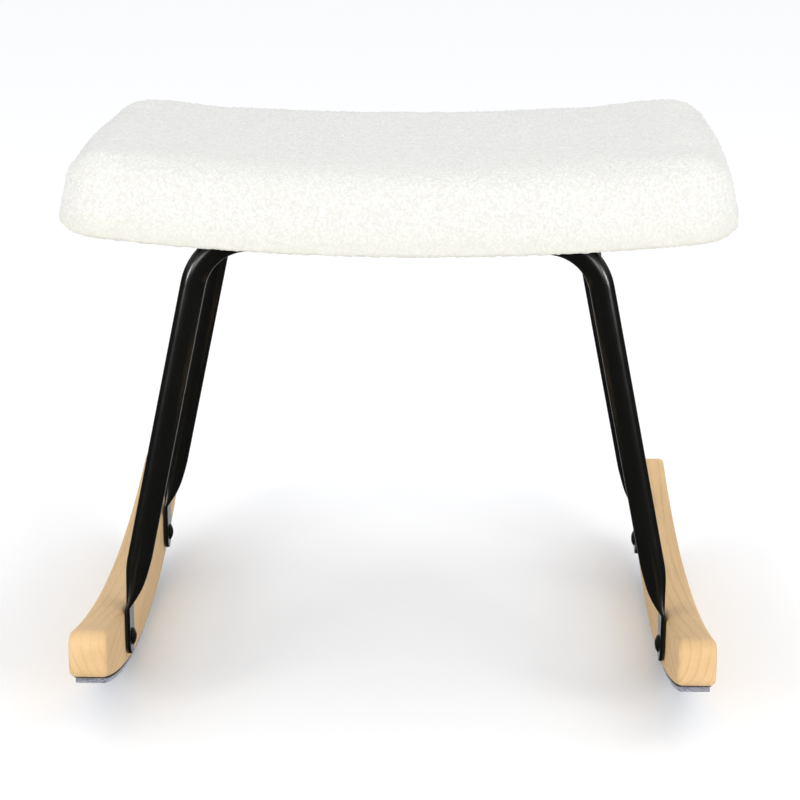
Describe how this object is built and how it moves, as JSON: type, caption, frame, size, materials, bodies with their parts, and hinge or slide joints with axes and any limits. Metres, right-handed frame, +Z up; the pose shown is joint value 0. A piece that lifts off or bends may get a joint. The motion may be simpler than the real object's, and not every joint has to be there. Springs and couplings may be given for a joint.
{
  "type": "rocking footstool",
  "caption": "Rocking footstool: an upholstered saddle-curved seat on two splayed black tube hoops, bolted to curved wooden rockers with felt glides.",
  "frame": {"origin": "on the floor, under the middle of the footstool at rest", "axes": "+Z up, +X to the right seen from the front, the front faces -Y; it rocks about X"},
  "size_m": [0.5364, 0.49, 0.4487],
  "materials": {
    "boucle": "off-white boucle fabric with small curled loops",
    "foam": "cut polyurethane foam",
    "plywood": "unfinished curved plywood",
    "lining": "black non-woven lining",
    "coated_steel": "smooth semi-gloss black powder coat",
    "black_steel": "black oxide steel",
    "zinc_steel": "zinc plated steel",
    "beech": "clear satin lacquer over pale straight-grained wood",
    "felt": "speckled blue-grey pressed felt",
    "tape": "black adhesive tape",
    "black_plastic": "moulded black plastic"
  },
  "bodies": {
    "root": {"seat_cover": "boucle", "seat_foam": "foam", "seat_board": "plywood", "seat_lining": "lining", "front_leg_hoop": "coated_steel", "rear_leg_hoop": "coated_steel", "front_left_seat_bolt": "black_steel", "front_left_saddle": "black_plastic", "front_left_tee_nut": "zinc_steel", "front_right_seat_bolt": "black_steel", "front_right_saddle": "black_plastic", "front_right_tee_nut": "zinc_steel", "rear_left_seat_bolt": "black_steel", "rear_left_saddle": "black_plastic", "rear_left_tee_nut": "zinc_steel", "rear_right_seat_bolt": "black_steel", "rear_right_saddle": "black_plastic", "rear_right_tee_nut": "zinc_steel", "left_rocker": "beech", "left_glide_tape": "tape", "left_glide_felt": "felt", "front_left_rocker_bolt": "black_steel", "front_left_insert_nut": "zinc_steel", "rear_left_rocker_bolt": "black_steel", "rear_left_insert_nut": "zinc_steel", "right_rocker": "beech", "right_glide_tape": "tape", "right_glide_felt": "felt", "front_right_rocker_bolt": "black_steel", "front_right_insert_nut": "zinc_steel", "rear_right_rocker_bolt": "black_steel", "rear_right_insert_nut": "zinc_steel"}
  },
  "joints": []
}
